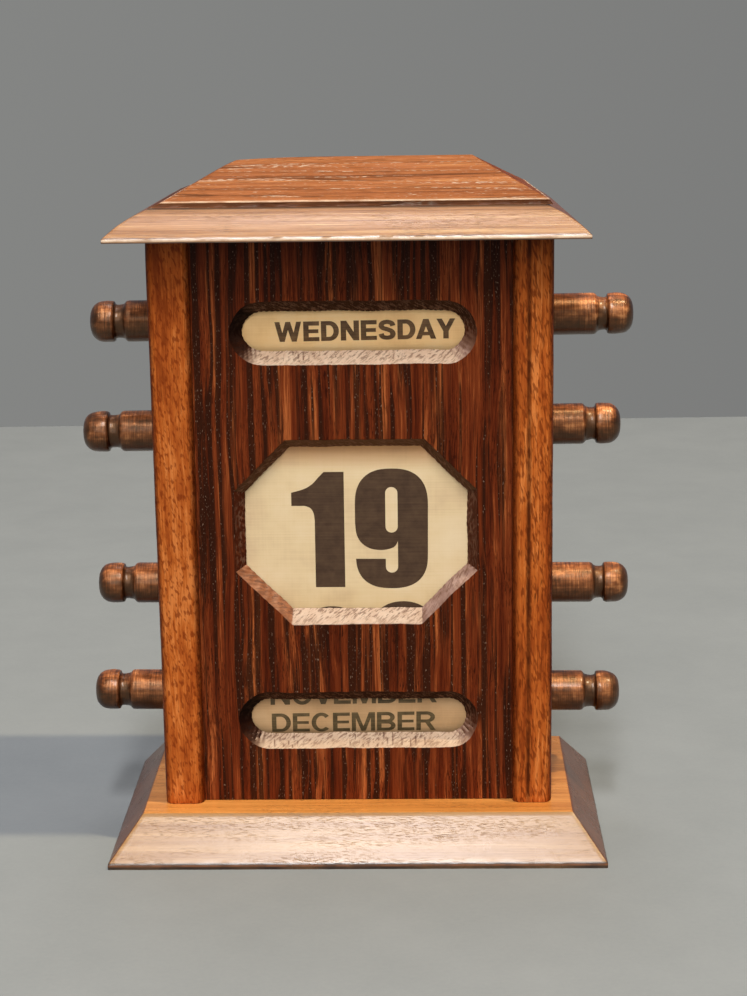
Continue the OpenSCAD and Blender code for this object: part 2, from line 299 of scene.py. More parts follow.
def wood(name, grain, tones, streak=2.4, length=60.0, pores=0.75, glints=0.25, gloss=0.32,
         lean=0.0, seed=0.0, fine=0.35, relief=0.03, mottle=0.0, pore_size=(2.2, 0.18),
         grime_and_shade=(), lines=(), painted_top_light=None, side_tint=None, side_from=(0.18, 0.42),
         seam=None, grooves=0.0, patches=(26, 7), contrast=1.0, hairs=0.45, sway=4.0, bands=None,
         flecks=None, glint_size=(2.2, 0.24), glint_tone=(0.42, 0.26, 0.17), shade=None,
         cut=None, **constants):
    """Varnished open-pored wood. tones go from the darkest streak to the lightest.

    grime_and_shade lists (plain z, darkest z, strength) of level bands darkened towards a z:
    painted shade in the creases of the lid and roof, and the plinth darker towards its foot.
    lines lists (z, half height, colour, strength) of broken level lines: painted highlights on
    arrises, painted shade in a crease and a dark line near the plinth's foot. painted_top_light
    is painted light on faces that look up; side_tint darkens faces that look
    sideways, partly end grain and partly painted shade. glints are pale specks that paint
    highlights. seam is (x, half width) of a dark upright line. bands is (across, along, colour)
    of dark open-pored bands, flecks (size, colour) of marks, shade (from z, to z, share) of
    painted shadow under the lid.
    cut changes the colour, roughness and height where the wood was sawn."""
    s = new_shader(name)
    turn, shift = (0, math.radians(lean), 0), (seed, seed * 2.3, -seed)

    def veins(along, across, detail=2.0, rough=0.55, at=shift, source=None, turned=turn):
        """Noise drawn out along the grain."""
        cells = tuple(along if axis == grain else across for axis in "xyz")
        return s.noise(s.stretch(cells, turned, at, source), detail, rough)

    bend = (veins(45, 14) - 0.5) * (sway * MM)
    offset = s.node("CombineXYZ", {axis.upper(): bend for axis in "xyz" if axis != grain})
    bent = s.node("VectorMath", {0: s.coords["Object"], 1: offset.outputs[0]}).outputs[0]
    wide = veins(length, streak * 2.4, 2.0, 0.5, source=bent)
    narrow = veins(length * 0.6, streak, 3.0, 0.65, source=bent)
    hair = veins(14, fine, 2.0, 0.6, source=bent)
    tone = wide * 0.5 + narrow * 0.5 + (hair - 0.5) * hairs
    if mottle:
        tone = tone + (veins(6.0, 2.2, 3.0, 0.6) - 0.5) * mottle
    spread = 0.28 / contrast
    colour = s.ramp(tone, [(0.5 + spread * (k / (len(tones) - 1) - 0.5), t)
                           for k, t in enumerate(tones)])
    hollow_tone = scaled(tones[0], 0.25)
    dash = veins(*pore_size, 2.0, 0.5, source=bent)
    cluster = veins(*patches, at=(seed, -seed, seed))
    pore = dash.step(0.57, 0.64) * cluster.step(0.40, 0.60, 0.15, 1.0)
    colour = s.mix(pore * pores, colour, hollow_tone)
    glint_place = cluster.step(0.60, 0.45)
    if bands:
        across, along, dark = bands
        band = veins(along, across, 1.5, 0.5, (seed, -seed, -seed), bent) + (hair - 0.5) * 0.16
        colour = s.mix(band.step(0.545, 0.425) * 0.90, colour, dark)
        glint_place = band.step(0.47, 0.42)
    if flecks:
        size, mark = flecks
        fleck = veins(*size, 1.5, 0.5, (-seed, seed, seed), turned=(0, math.radians(lean + 12), 0))
        colour = s.mix(fleck.step(0.53, 0.62, 0.0, 0.72), colour, mark)
    # Painted glints: pale specks that stand in for highlights.
    spark = veins(*glint_size, 2.0, 0.4, (seed + 7, seed, seed))
    glint = spark.step(0.64, 0.74) * glint_place
    colour = s.mix(glint * glints, colour, glint_tone)
    smear = s.blotch(9, shift=shift)
    place, facing = s.parts(s.coords["Object"]), s.parts(s.coords["Normal"])
    side_look = abs(facing[0])
    if grooves:
        vein = veins(150, 5.5, 1.0, 0.55, (seed, seed, -seed), bent)
        line = abs(vein - 0.47).step(0.013, 0.005) * cluster.step(0.38, 0.55, 0.15, 1.0)
        line = line * side_look.step(0.22, 0.12)
        colour = s.mix(line * grooves, colour, scaled(tones[0], 0.3))
        pore = s.math("MAXIMUM", pore, line)
        # Painted highlight: pale broken lines beside the grooves.
        beside = abs(vein - 0.443).step(0.020, 0.008) * spark.step(0.50, 0.60)
        colour = s.mix(beside * side_look.step(0.22, 0.12, 0.0, 0.8), colour, glint_tone)
    if seam:
        crack = abs(place[0] - seam[0] * MM).step(seam[1] * MM, 0.3 * seam[1] * MM)
        colour = s.mix(crack * smear.step(0.34, 0.56, 0.35, 0.95), colour, hollow_tone)
    # Painted light: faces that look up are brightened and made oranger.
    if painted_top_light:
        colour = s.tint(facing[2].step(0.88, 0.96), colour, painted_top_light)
    # Faces that look sideways are darkened: partly end grain on the plinth, lid and roof, partly
    # painted shade.
    if side_tint:
        grit = s.blotch(0.8, 3.0, 0.7, shift)
        end_grain_and_shade = s.mix(grit.step(0.35, 0.65), scaled(side_tint, 0.65), scaled(side_tint, 1.35))
        colour = s.tint(side_look.step(*side_from), colour, end_grain_and_shade)
    # Painted shadow of the lid on the top of the case.
    if shade:
        share = (place[2] + smear * (4 * MM)).step((shade[0] + 2) * MM, (shade[1] + 2) * MM,
                                                   0.0, shade[2])
        colour = s.tint(share, colour, (0.40, 0.42, 0.50))
    # Level bands darkened towards a z: painted shade in the creases of the lid and roof, and the
    # plinth darker towards its foot.
    for plain_z, darkest_z, strength in grime_and_shade:
        grime_and_shade_share = place[2].step(plain_z * MM, darkest_z * MM) * smear.step(0.30, 0.62, 0.75, 1.0)
        colour = s.mix(grime_and_shade_share * strength, colour, (0.016, 0.006, 0.003))
    # Broken level lines: painted highlights on the arrises of the lid and roof, painted shade in
    # the lid's crease, and a dark line near the plinth's foot.
    for level, half, line_tone, strength in lines:
        near = abs(place[2] - level * MM).step(half * MM, 0.5 * half * MM)
        broken = s.blotch(4.2, 3.0, 0.6, shift).step(0.34, 0.58, 0.4 * strength, strength)
        colour = s.mix(near * broken, colour, line_tone)
    rough = smear.step(0.3, 0.7, gloss, gloss + 0.015) + pore * 0.25
    height = hair * 0.35 - pore + narrow * 0.3
    if cut:
        colour, rough, height = cut(s, colour, rough, height)
    return s.finish(colour, rough, height, relief, **constants)


def cut_windows(s, colour, rough, height):
    """Bare sawn wood where the windows are cut through the front board, with painted light and
    shade: near black on faces that look down, pale cream on faces that look up.
    """
    place, looks = s.parts(s.coords["Object"]), s.parts(s.coords["Normal"])
    inside = place[1].step((FRONT + 0.04) * MM, (FRONT + 0.16) * MM)
    fibre = s.noise(s.stretch((0.42, 2.0, 2.0), (0, 0, math.radians(54))), 2.0, 0.6)
    # Painted light and shade: near black on faces that look down, pale cream on faces that look up.
    cut = s.ramp(looks[2].step(-1.0, 1.0) + (s.blotch(3) - 0.5) * 0.26,
                 [(0.0, (0.030, 0.009, 0.003)), (0.30, (0.055, 0.018, 0.006)),
                  (0.52, (0.11, 0.030, 0.010)), (0.70, (0.33, 0.17, 0.09)),
                  (0.86, (0.76, 0.51, 0.34)), (1.0, (0.92, 0.68, 0.48))])
    # Painted light and shade: faces that look right darker and oranger, faces that look left darker
    # and greyer, the month slot's faces darker.
    cut = s.tint(looks[0].step(0.25, 0.6), cut, (0.72, 0.42, 0.28))
    cut = s.tint(looks[0].step(-0.25, -0.6), cut, (0.66, 0.60, 0.70))
    cut = s.tint(place[2].step(55 * MM, 45 * MM), cut, (0.80, 0.78, 0.76))
    off_date = abs(place[2] - DATE_Z * MM)
    # Painted shade on the downward faces at the top of the date window.
    date_top_shade = off_date.step(32 * MM, 30 * MM) * looks[2].step(-0.3, -0.7)
    cut = s.mix(date_top_shade, cut, s.mix(0.65, cut, (0.15, 0.060, 0.022)))
    gap = fibre.step(0.50, 0.62) * place[1].step((FRONT + 0.3) * MM, (FRONT + 2.2) * MM, 0.45, 1.0)
    cut = s.mix(gap * 0.72, cut, (0.20, 0.095, 0.055))
    # Painted shade: the slots' left ends nearly black.
    left_end = off_date.step(30 * MM, 32 * MM) * looks[0].step(0.15, 0.5)
    cut = s.tint(left_end, cut, (0.14, 0.12, 0.13))
    return (s.mix(inside, colour, cut), rough + inside * 0.25,
            s.mix(inside, height, s.math("SUBTRACT", 1.0, gap * 1.6)))


def turned_wood(name, axis, seed):
    """Dark shellacked wood that was spun while it was finished: rings, grime, a copper sheen, and
    painted light and shade.

    axis is (y, z) of the spindle. Where it is thinner than its shaft, it is darker, partly
    grime and partly painted shade in the cove. The undersides get painted shade and the tops a
    painted highlight by which way they face in the world, in whichever way the spindle is turned."""
    s = new_shader(name)
    shift = (seed, seed, seed)
    place = s.parts(s.coords["Object"])
    across = s.math("POWER", place[1] - axis[0] * MM, 2.0)
    upward = s.math("POWER", place[2] - axis[1] * MM, 2.0)
    out = s.math("SQRT", across + upward)
    rings = s.noise(s.stretch((0.26, 9, 9), shift=shift), 2.0, 0.6)
    grain = s.noise(s.stretch((16, 1.1, 1.1), shift=shift), 3.0, 0.6)
    cloud = s.noise(s.stretch((3.6, 3.0, 3.0), shift=shift), 3.0, 0.6)
    last = len(KNOB_TONES) - 1
    colour = s.ramp(rings * 0.34 + grain * 0.28 + cloud * 0.38,
                    [(0.38 + 0.24 * k / last, t) for k, t in enumerate(KNOB_TONES)])
    # Darker in the cove: partly grime, partly painted shade.
    grime_and_shade_share = (out + cloud * (0.5 * MM)).step((KNOB_R + 0.05) * MM, (KNOB_R - 0.6) * MM)
    colour = s.mix(grime_and_shade_share * 0.8, colour, (0.012, 0.005, 0.002))
    # Painted shade on faces that look down and a painted highlight on faces that look up, by the
    # world's normal.
    up = s.parts(s.node("NewGeometry").outputs["Normal"])[2] + (cloud - 0.5) * 0.5
    colour = s.tint(up.step(0.15, -0.40), colour, (0.22, 0.20, 0.19))
    colour = s.tint(up.step(0.30, 0.85), colour, (2.3, 2.1, 1.9))
    rough = (cloud + grime_and_shade_share * 0.2).step(0.35, 0.75, 0.30, 0.42)
    return s.finish(colour, rough, rings + cloud * 0.7, 0.09, Specular_IOR_Level=1.0,
                    Specular_Tint=(1.0, 0.54, 0.28, 1), Coat_Weight=0.2, Coat_Roughness=0.18)


def paper(name, dark, plain, light, edge_tints=()):
    """Cream laid paper: fine level lines, a faint upright weave, a little foxing.

    edge_tints are (plain z, tinted z, tint) of bands that tint the paper towards a z."""
    s = new_shader(name)
    laid = s.noise(s.stretch(LAID_LINES), 1.0)
    chain = s.noise(s.stretch((0.5, 0.5, 14)), 1.0)
    cloud = s.blotch(13)
    colour = s.ramp(laid * 0.18 + (chain * 0.08 + cloud * 0.74),
                    [(0.34, dark), (0.50, plain), (0.66, light)])
    z = s.parts(s.coords["Object"])[2]
    # Bands tinted towards a z; on the date strip the top one is painted shadow.
    for plain_z, tinted_z, tint in edge_tints:
        share = (z + (cloud - 0.5) * (3 * MM)).step(plain_z * MM, tinted_z * MM)
        colour = s.tint(share, colour, tint)
    return s.finish(colour, 0.62, laid + chain * 0.5, 0.015, Specular_IOR_Level=0.25)


def ink(name, dark, light):
    """Old printing ink that lets a little of the paper's lines through."""
    s = new_shader(name)
    laid = s.noise(s.stretch(LAID_LINES), 1.0)
    colour = s.ramp(laid * 0.4 + s.blotch(2.2, 4.0) * 0.6, [(0.35, dark), (0.65, light)])
    return s.finish(colour, 0.55, laid, 0.01, Specular_IOR_Level=0.25)


def steel(name):
    s = new_shader(name)
    scratch = s.noise(s.stretch((0.4, 3, 0.4)), 4.0)
    rust = s.blotch(1.2, 4.0).step(0.55, 0.7)
    colour = s.mix(rust, (0.46, 0.42, 0.37), (0.22, 0.12, 0.07))
    return s.finish(colour, scratch.step(0.3, 0.7, 0.3, 0.5), scratch, 0.02, Metallic=1.0)


PANEL_TONES = [(0.055, 0.0075, 0.0014), (0.120, 0.018, 0.0036), (0.20, 0.037, 0.0080),
               (0.46, 0.120, 0.030)]
WARM_TONES = [(0.26, 0.046, 0.006), (0.41, 0.084, 0.012), (0.51, 0.120, 0.018),
              (0.68, 0.20, 0.044)]
PLINTH_TONES = [(0.32, 0.145, 0.045), (0.38, 0.185, 0.062), (0.41, 0.210, 0.075),
                (0.49, 0.265, 0.108)]
LID_TONES = [(0.25, 0.098, 0.030), (0.385, 0.163, 0.058), (0.46, 0.215, 0.084),
             (0.60, 0.33, 0.15)]
ROOF_TONES = [(0.225, 0.062, 0.015), (0.33, 0.098, 0.025), (0.39, 0.124, 0.035),
              (0.54, 0.215, 0.072)]
KNOB_TONES = [(0.016, 0.0044, 0.0013), (0.090, 0.024, 0.0065), (0.205, 0.061, 0.0175),
              (0.44, 0.175, 0.062)]
BLACK_GRAIN = (0.026, 0.0065, 0.0020)
# The next three are painted light: a highlight for arrises, shade for creases and silver glints.
PAINTED_HIGHLIGHT = (0.86, 0.64, 0.44)
CREASE_SHADE = (0.050, 0.020, 0.010)
SILVER = (0.66, 0.48, 0.34)
LAID_LINES = (22, 22, 0.36)
DULL = {"Specular_IOR_Level": 0.06}
CASE_LOOK = {"glint_size": (0.8, 0.26), **DULL}
PILASTER_LOOK = {"glints": 0.0, "fine": 0.4, "side_tint": (0.36, 0.30, 0.30), **DULL}

# On the case, shade is a painted shadow of the lid and glints are painted highlights.
panel_wood = wood(
    "panel_wood", "z", PANEL_TONES, 2.0, 120, seed=1.0, lean=0.3, fine=0.24, gloss=0.36,
    hairs=0.34, sway=3.0, glints=0.5, bands=(1.35, 90, BLACK_GRAIN),
    shade=(CASE_TOP - 15, CASE_TOP - 2, 0.62), cut=cut_windows, **CASE_LOOK)
side_wood = wood(
    "side_wood", "z", PANEL_TONES, 3.0, 110, seed=4.0, lean=-0.8, glints=0.3,
    bands=(1.4, 90, BLACK_GRAIN), shade=(CASE_TOP - 12, CASE_TOP - 2, 0.5), **CASE_LOOK)
left_pilaster_wood = wood(
    "left_pilaster_wood", "z", WARM_TONES, 3.4, 50, pores=0.3, seed=9.0, lean=1.5, mottle=0.35,
    pore_size=(3.0, 0.3), side_from=(0.30, 0.80), flecks=((2.0, 0.70), (0.20, 0.028, 0.003)),
    shade=(CASE_TOP - 9, CASE_TOP - 1, 0.75), **PILASTER_LOOK)
right_pilaster_wood = wood(
    "right_pilaster_wood", "z", WARM_TONES, 3.0, 70, pores=0.7, seed=15.5, lean=-1.0, mottle=0.25,
    pore_size=(4.0, 0.35), side_from=(0.22, 0.80), seam=(44.8, 0.8),
    flecks=((2.6, 0.60), (0.16, 0.025, 0.003)), shade=(CASE_TOP - 12, CASE_TOP - 1, 0.75),
    **PILASTER_LOOK)
# The plinth's top faces get painted light; it is darker towards its foot, with a dark line near it.
plinth_wood = wood(
    "plinth_wood", "x", PLINTH_TONES, 1.4, 110, glints=0.0, gloss=0.27, seed=17.0, fine=0.2,
    pore_size=(2.0, 0.12), sway=1.0, patches=(40, 7), relief=0.010, grime_and_shade=[(1.85, 1.45, 0.97)],
    lines=[(1.0, 0.35, (0.24, 0.085, 0.030), 0.8)], painted_top_light=(1.75, 1.28, 0.76),
    side_tint=(0.42, 0.22, 0.12), Specular_IOR_Level=0.60)
# The lid's lines are a painted highlight on its lower arris and painted shade in the crease above
# it; its darkened bands are painted shade under the roof's edge and along its foot.
lid_wood = wood(
    "lid_wood", "x", LID_TONES, 0.7, 120, pores=0.7, glints=0.4, seed=23.0, fine=0.2,
    pore_size=(2.8, 0.13), sway=0.8, side_tint=(0.46, 0.24, 0.13), relief=0.02,
    lines=[(LID_FOOT + 0.68, 0.36, PAINTED_HIGHLIGHT, 0.9), (LID_FOOT + 1.2, 0.16, CREASE_SHADE, 0.7)],
    grime_and_shade=[(LID_TOP - 0.4, LID_TOP - 0.1, 0.85), (LID_FOOT + 0.34, LID_FOOT + 0.16, 0.9)],
    Specular_IOR_Level=0.95)
# The roof's darkened band is painted shade in the quirk, its line a painted highlight on the arris
# above it and its glints painted silver highlights.
roof_wood = wood(
    "roof_wood", "x", ROOF_TONES, 1.4, 150, pores=0.45, glints=0.75, gloss=0.42, seed=29.0,
    fine=0.3, relief=0.08, pore_size=(5.0, 0.2), grooves=0.7, sway=1.0,
    side_tint=(0.60, 0.38, 0.25), glint_size=(1.5, 0.26), glint_tone=SILVER, patches=(40, 3.0),
    contrast=0.85, grime_and_shade=[(LID_TOP + 1.15, LID_TOP + 0.85, 0.72)],
    lines=[(LID_TOP + 1.35, 0.22, PAINTED_HIGHLIGHT, 0.75)], Specular_IOR_Level=0.14)
bare_wood = wood(
    "bare_wood", "x", [(0.42, 0.27, 0.14), (0.56, 0.39, 0.22), (0.68, 0.50, 0.31)], 2.5, 60,
    pores=0.35, glints=0.0, gloss=0.6, seed=37.0)
# The first edge tint is painted shadow under the date window's top edge; the second darkens the
# paper a little towards the window's foot.
cream_paper = paper("cream_paper", (0.72, 0.50, 0.28), (0.83, 0.605, 0.335), (0.88, 0.66, 0.40),
                    [(100.5, 107.0, (0.76, 0.50, 0.34)), (71.0, 63.5, (0.90, 0.86, 0.78))])
day_paper = paper("day_paper", (0.85, 0.50, 0.21), (0.96, 0.61, 0.27), (0.97, 0.66, 0.33))
month_paper = paper("month_paper", (0.485, 0.285, 0.13), (0.595, 0.35, 0.165),
                    (0.66, 0.41, 0.205))
date_ink = ink("date_ink", (0.060, 0.029, 0.014), (0.098, 0.052, 0.025))
day_ink = ink("day_ink", (0.080, 0.040, 0.015), (0.18, 0.095, 0.038))
month_ink = ink("month_ink", (0.075, 0.050, 0.020), (0.16, 0.105, 0.045))
dull_steel = steel("dull_steel")


def dress_cad_nodes():
    for material, nodes in (
        (side_wood, ("back_board", "left_side", "right_side")),
        (dull_steel, ("back_screws", "plinth_screws", "day_pin", "month_pin")),
        (bare_wood, ("lid_dowels", "day_drum", "month_drum", "date_platen")),
        (cream_paper, ("date_strip", "date_top_roll", "date_foot_roll")),
        (day_paper, ("day_band",)), (month_paper, ("month_band",)),
    ):
        for node in nodes:
            for slot in frame["nodes"][node].material_slots:
                slot.material = material


# ---- plinth, lid and roof ----

def worn(point, edge, seed):
    """A point moved by hand work: gently all over, more on an edge that is knocked."""
    return Vector(point) + drift(point, 40, 0.03, seed) + drift(point, 3.0, edge, seed + 5)


def keep_inside(point, low, high):
    return Vector(min(max(v, a), b) for v, a, b in zip(point, low, high))


def slab(name, lines, material, seed, taper=0.0, shift=0.0):
    """A mitred slab. lines is a list of (half x, half y, z, edge wear) from foot to top.

    taper is how much narrower each side is at the back than at the front."""
    low, high = (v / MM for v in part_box(name))
    middle = (low + high) / 2
    rings = []
    for half_x, half_y, z, wear in lines:
        points = []
        for x, y in rectangle_ring(-half_x, half_x, -half_y, half_y, 0.3, 110, 60):
            back = (y + high.y) / (2 * high.y)
            x -= math.copysign(taper * back, x) * min(1.0, abs(x) / (0.7 * half_x))
            p = worn((middle.x + x, middle.y + y, z), wear, seed)
            if z == lines[0][2]:
                p.z = z
            p = keep_inside(p, low, high)
            p.x += shift
            points.append(p)
        rings.append(points)
    return piece(name + "_worn", loft(rings), material, "case", (name,))


def make_plinth():
    low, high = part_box("plinth")
    half_x, half_y, top = high.x / MM, high.y / MM, high.z / MM
    profile = rounded([(0.0, 0.0), (0.0, PLINTH_EDGE), (1.0, top), (1.4, top)], 0.35)
    lines = [(half_x - 1.0, half_y - 1.0, 0.0, 0.0)]
    edge_wear, bevel_wear, row_height = 0.10, 0.006, 0.8
    for inset, z in profile:
        wear = edge_wear if z < PLINTH_EDGE + 0.2 else bevel_wear
        on_top = max(inset - 1.0, 0) * 4
        x_in = min(inset, 1.0) * PLINTH_BEVEL_X + on_top
        y_in = min(inset, 1.0) * PLINTH_BEVEL_Y + on_top
        lines.append((half_x - x_in - 0.05, half_y - y_in - 0.05, z, wear))
    dense = []
    for a, b in zip(lines, lines[1:]):
        steps = max(1, int(abs(b[2] - a[2]) / row_height))
        dense += [tuple(p + (q - p) * k / steps for p, q in zip(a, b)) for k in range(steps)]
    dense.append(lines[-1])
    return slab("plinth", dense, plinth_wood, 2.0)


def make_lid():
    low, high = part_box("lid_board")
    half_x, half_y = high.x / MM, high.y / MM
    foot, top = low.z / MM, high.z / MM
    rise = top - foot - LID_EDGE
    chord = math.hypot(LID_ROUND_IN, rise)
    lean = math.atan2(rise, LID_ROUND_IN)
    sink = math.sqrt(LID_ROUND_R ** 2 - chord ** 2 / 4)
    cx = LID_ROUND_IN / 2 + sink * math.sin(lean)
    cz = LID_EDGE + rise / 2 - sink * math.cos(lean)
    start = math.atan2(LID_EDGE - cz, -cx)
    end = math.atan2(LID_EDGE + rise - cz, LID_ROUND_IN - cx)
    edge_wear, face_wear, steps = 0.12, 0.02, 18
    lines = [(half_x - 0.6, half_y - 0.6, foot, 0.0), (half_x - 0.1, half_y - 0.1, foot, 0.05),
             (half_x - 0.05, half_y - 0.05, foot + 0.2, edge_wear),
             (half_x - 0.05, half_y - 0.05, foot + LID_EDGE - 0.35, edge_wear)]
    for k in range(steps + 1):
        a = start + (end - start) * k / steps
        inset = cx + LID_ROUND_R * math.cos(a)
        z = cz + LID_ROUND_R * math.sin(a)
        wear = edge_wear if k < 2 else face_wear
        lines.append((half_x - inset - 0.12, half_y - inset - 0.12, foot + z, wear))
    lines.append((half_x - LID_ROUND_IN - 3, half_y - LID_ROUND_IN - 3, top, 0.0))
    return slab("lid_board", lines, lid_wood, 6.0, taper=LID_TAPER, shift=LID_SHIFT)


def make_roof():
    """The low hipped roof, its grain opened into long grooves, over a dark quirk."""
    low, high = (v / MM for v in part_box("roof_board"))
    slope_foot = low.z + ROOF_EDGE
    rows, first, run = 64, 0.004, 0.992     # rows that stop just short of the slope's ends
    left_in, right_out = 0.9, 0.4           # of the slope's foot, from the CAD node's ends
    lip_left, lip_right, quirk = 3.4, 0.9, 0.35
    furrow_depth, rib_depth, ridge_dip = 0.32, 0.10, 0.7
    lines = [(0.0, low.z), (0.0, low.z + 0.3), (0.0, slope_foot - 0.4), (0.0, slope_foot - 0.1)]
    shares = [first + run * k / rows for k in range(rows + 1)]
    lines += [(share, slope_foot + (high.z - slope_foot) * share) for share in shares]
    rings = []
    for share, z in lines:
        edge = max(0.0, 1 - (z - low.z) / ROOF_EDGE)
        left = low.x + left_in + (RIDGE_LEFT - low.x - left_in) * share - lip_left * edge
        right = high.x + right_out + (RIDGE_RIGHT - high.x - right_out) * share + lip_right * edge
        half_y = high.y * (1 - share) - quirk * edge * (1 - edge) * 4
        points = []
        for x, y in rectangle_ring(left, right, -half_y, half_y, 0.3, 170, 40):
            back = (y + high.y) / (2 * high.y)
            x += ROOF_TAPER_LEFT * back if x < 0 else -ROOF_TAPER_RIGHT * back
            p = worn((x, y, z), 0.08 if share < 0.02 else 0.03, 11.0)
            if share > 0.02:
                furrow = abs(ripple((x / 90, y, 0), 1.3, 3.0))
                opened = 0.6 + ripple((x, y * 3, 0), 14, 8.0)
                p.z -= furrow_depth * max(0.0, 1 - furrow * 7) * opened
                p.z -= rib_depth * (1 + ripple((x / 60, y, 3), 1.9, 5.0))
                p.z -= ridge_dip * share ** 5 * max(0.0, 1 - (x - RIDGE_LEFT) / 17) ** 1.5
            points.append(keep_inside(p, (low.x - 3, low.y, low.z), (high.x + 2, high.y, high.z)))
        rings.append(points)
    return piece("roof_worn", loft(rings), roof_wood, "case", ("roof_board",))


# ---- front board with its cut windows ----

def slot_line(z, height, grow, step=0.34):
    """Round-ended slot from its right end's foot, as (x, z, outward x, outward z)."""
    r = height / 2 + grow
    run = SLOT_HALF - height / 2
    flat = max(2, int(2 * run / step))
    turn = max(8, int(math.pi * height / 2 / step))
    line = []
    for side, start in ((1, -90), (-1, 90)):
        for k in range(turn):
            a = math.radians(start + 180 * k / turn)
            line.append((WINDOW_SHIFT + side * run + r * math.cos(a), z + r * math.sin(a),
                         math.cos(a), math.sin(a)))
        for k in range(flat):
            x = WINDOW_SHIFT + side * run - side * 2 * run * k / flat
            line.append((x, z + side * r, 0, side))
    return line


def octagon_line(grow, step=0.34):
    """Eight-sided window line with the same points for each grow."""
    w, h, c = DATE_HALF_W, DATE_HALF_H, DATE_CORNER
    base = [Vector(p) for p in ((w, -h + c), (w, h - c), (w - c, h), (-w + c, h), (-w, h - c),
                                (-w, -h + c), (-w + c, -h), (w - c, -h))]
    sides = [(b - a).normalized() for a, b in zip(base, base[1:] + base[:1])]
    outs = [Vector((side.y, -side.x)) for side in sides]
    grows = [grow * (DATE_FOOT_SPLAY if out.y < -0.9 else 1.0) for out in outs]
    turn = math.cos(math.radians(45))
    corners = []
    for k, corner in enumerate(base):
        before, after = grows[k - 1], grows[k]
        corners.append(corner + (outs[k - 1] * (before - after * turn)
                                 + outs[k] * (after - before * turn)) / (1 - turn * turn))
    line = []
    for k, corner in enumerate(corners):
        following = corners[(k + 1) % 8]
        n = max(2, int((base[(k + 1) % 8] - base[k]).length / step))
        for j in range(n):
            p = corner.lerp(following, j / n)
            line.append((WINDOW_SHIFT + p.x, DATE_Z + p.y, outs[k].x, outs[k].y))
    return line


def window_rings(line_at, splay, marks, seed):
    """Rings of points from the board's front face to its back, over one window's edge.

    marks is (spacing, slant, depth) of the saw marks."""
    thick = FRONT_BACK - FRONT
    spacing, slant, mark_depth = marks
    levels = [(splay + 0.55, 0.0, 0.0), (splay + 0.16, 0.0, 0.2), (splay + 0.02, 0.12, 0.6)]
    steps = 12
    levels += [(splay * (1 - k / steps), 0.12 + (thick - 0.3) * k / steps, 1.0)
               for k in range(1, steps + 1)]
    levels += [(0.1, thick, 0.0), (0.6, thick, 0.0)]
    rings = []
    for grow, depth, cut in levels:
        ring = []
        line = line_at(grow)
        along = 0.0
        for k, (x, z, nx, nz) in enumerate(line):
            px, pz = line[k - 1][:2]
            along += math.hypot(x - px, z - pz) if k else 0.0
            shape = 0.26 * ripple((x, 0, z), 7, seed) + 0.09 * ripple((x, 0, z), 1.6, seed + 3)
            saw = 0.5 + 0.5 * math.sin((along + depth * slant) * 2 * math.pi / spacing
                                       + 2.2 * ripple((x, depth, z), 4, seed + 9))
            saw = saw ** 3 * (0.55 + 0.45 * ripple((x, 0, z), 5, seed + 2))
            out = shape + (mark_depth * saw * cut)
            wall = 1.0 if 0 < depth < thick else 0.0
            ring.append(Vector((x + nx * out, FRONT + depth + 0.03 * wall, z + nz * out)))
        rings.append(ring)
    return rings


def fill_between(bm, loops, y):
    """One flat face with holes, triangulated, that looks along y."""
    edges = []
    for loop in loops:
        for a, b in zip(loop, loop[1:] + loop[:1]):
            edges.append(bm.edges.get((a, b)) or bm.edges.new((a, b)))
    bmesh.ops.triangle_fill(bm, edges=edges, use_beauty=True, use_dissolve=False,
                            normal=(0, y, 0))


def make_front_board():
    bm = bmesh.new()
    windows = [
        window_rings(lambda g: slot_line(DAY_SLOT_Z, DAY_SLOT_H, g), SLOT_SPLAY,
                     (1.35, 0.9, 0.30), 3.0),
        window_rings(lambda g: slot_line(MONTH_SLOT_Z, MONTH_SLOT_H, g), SLOT_SPLAY,
                     (1.25, 0.9, 0.30), 5.0),
        window_rings(octagon_line, DATE_SPLAY, (1.8, 1.4, 0.16), 7.0),
    ]
    front_loops, back_loops = [], []
    for rings in windows:
        grid = [[bm.verts.new(p) for p in ring] for ring in rings]
        skin(bm, grid)
        front_loops.append(grid[0])
        back_loops.append(grid[-1])
    rim = 0.12
    outline = []
    for x0, x1, z0, z1, y in (
        (-PANEL_HALF + rim, PANEL_HALF - rim, CASE_FOOT + rim, CASE_TOP - rim, FRONT),
        (-PANEL_HALF, PANEL_HALF, CASE_FOOT, CASE_TOP, FRONT + rim),
        (-PANEL_HALF, PANEL_HALF, CASE_FOOT, CASE_TOP, FRONT_BACK),
    ):
        ring = rectangle_ring(x0, x1, z0, z1, 0.02, 60, 90, 1)
        outline.append([bm.verts.new((x, y, z)) for x, z in ring])
    skin(bm, outline)
    fill_between(bm, [outline[0]] + front_loops, -1)
    fill_between(bm, [outline[-1]] + back_loops, 1)
    return piece("front_board_cut", bm, panel_wood, "case", ("front_board",), 30)


